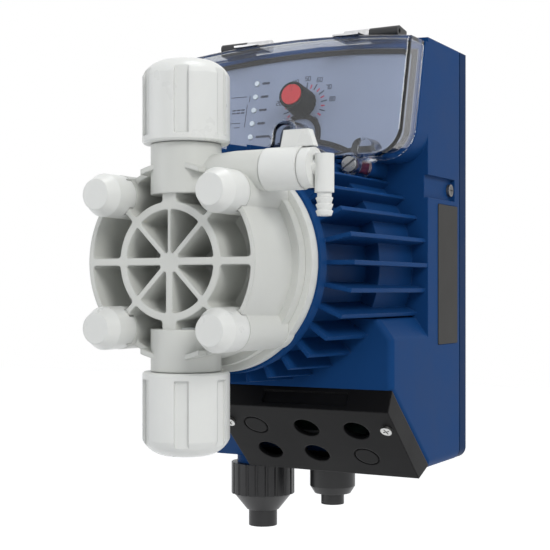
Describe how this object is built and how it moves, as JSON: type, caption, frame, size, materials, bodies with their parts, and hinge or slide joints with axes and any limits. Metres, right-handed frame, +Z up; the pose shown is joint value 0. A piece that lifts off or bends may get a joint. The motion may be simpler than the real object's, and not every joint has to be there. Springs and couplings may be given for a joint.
{
  "type": "diaphragm metering pump",
  "caption": "Wall-mounted solenoid metering pump: radial-finned motor drum, ribbed diaphragm head, ball valves with union nuts, bleed valve and a clear hinged cover over its controls.",
  "frame": {"origin": "centre of the wall face of the wall plate", "axes": "+Z up, the pump looks along -Y, +X to the right of its front view"},
  "size_m": [0.1323, 0.1957, 0.2544],
  "materials": {
    "blue_moulding": "satin moulded dark blue",
    "dark_moulding": "fine moulded texture",
    "black_moulding": "satin moulded black",
    "white_nut": "smooth, lets a little light through",
    "clear_cover": "clear moulded",
    "panel_film": "smooth film",
    "rubber_seal": "soft matt",
    "white_moulding": "smooth",
    "white_head": "satin moulded",
    "clear_valve": "satin",
    "steel": "bright",
    "chromed": "polished",
    "red_moulding": "smooth",
    "green_board": "lacquered board",
    "copper_coil": "lacquered wire",
    "lamp": "diffuse lens",
    "ceramic_ball": "polished",
    "dark_plate": "fine grained"
  },
  "bodies": {
    "pump_body": {"backplate": "white_moulding", "ball_guides": "clear_valve", "bleed_elbow": "white_nut", "bleed_stem": "white_moulding", "board_screws": "steel", "bolt_caps": "white_nut", "casing": "blue_moulding", "coil_bobbin": "dark_moulding", "control_board": "green_board", "control_panel": "panel_film", "diaphragm": "white_moulding", "discharge_nozzle": "white_head", "discharge_union_nut": "white_nut", "gland_body": "black_moulding", "gland_nut": "black_moulding", "gland_seal": "rubber_seal", "guide_bush": "white_moulding", "head_bolts": "steel", "hinge_blocks": "dark_moulding", "hinge_pins": "chromed", "indicator_lamps": "lamp", "level_socket": "black_moulding", "nozzle_orings": "rubber_seal", "panel_gasket": "rubber_seal", "plunger_buffer": "rubber_seal", "pole_core": "steel", "potentiometer": "dark_moulding", "power_board": "green_board", "pump_head": "white_head", "rear_gasket": "rubber_seal", "return_spring": "steel", "side_plate": "dark_plate", "side_screws": "steel", "socket_cap": "black_moulding", "solenoid_coil": "copper_coil", "solenoid_yoke": "steel", "suction_nozzle": "white_head", "suction_union_nut": "white_nut", "terminal_block": "dark_moulding", "terminal_board": "green_board", "terminal_cover": "black_moulding", "terminal_cover_screws": "steel", "transformer": "dark_moulding", "tube_clamp_rings": "white_moulding", "valve_seats": "white_moulding", "wall_plate": "blue_moulding", "yoke_front_plate": "steel"},
    "cover": {"display_cover": "clear_cover", "hinge_clips": "chromed", "screw_sleeve": "red_moulding", "cover_screw": "steel"},
    "setting_knob": {"knob": "dark_moulding", "knob_cap": "red_moulding", "pot_shaft": "steel"},
    "bleed_handle": {"bleed_knob": "white_nut"},
    "armature": {"plunger": "steel", "push_rod": "steel", "diaphragm_hub": "steel"},
    "suction_ball": {"suction_ball": "ceramic_ball"},
    "discharge_ball": {"discharge_ball": "ceramic_ball"}
  },
  "joints": [
    {"name": "cover_hinge", "type": "hinge", "parent": "pump_body", "child": "cover", "pos_m": [0, -0.0574, 0.1074], "axis": [-1, 0, 0], "range_deg": [0, 110]},
    {"name": "knob_turn", "type": "hinge", "parent": "pump_body", "child": "setting_knob", "pos_m": [0.001, -0.0622, 0.07387], "axis": [0, -0.9703, 0.2419], "range_deg": [-135, 135]},
    {"name": "bleed_turn", "type": "hinge", "parent": "pump_body", "child": "bleed_handle", "pos_m": [0.05, -0.1694, 0.0307], "axis": [1, 0, 0], "range_deg": [0, 90]},
    {"name": "armature_stroke", "type": "slide", "parent": "pump_body", "child": "armature", "axis": [0, -1, 0], "range_m": [0, 0.0012], "stiffness_N_per_m": 2500, "springref_m": -0.001, "deforming": ["return_spring", "diaphragm"]},
    {"name": "suction_ball_lift", "type": "slide", "parent": "pump_body", "child": "suction_ball", "axis": [0, 0, 1], "range_m": [0, 0.0015]},
    {"name": "discharge_ball_lift", "type": "slide", "parent": "pump_body", "child": "discharge_ball", "axis": [0, 0, 1], "range_m": [0, 0.0015]}
  ]
}
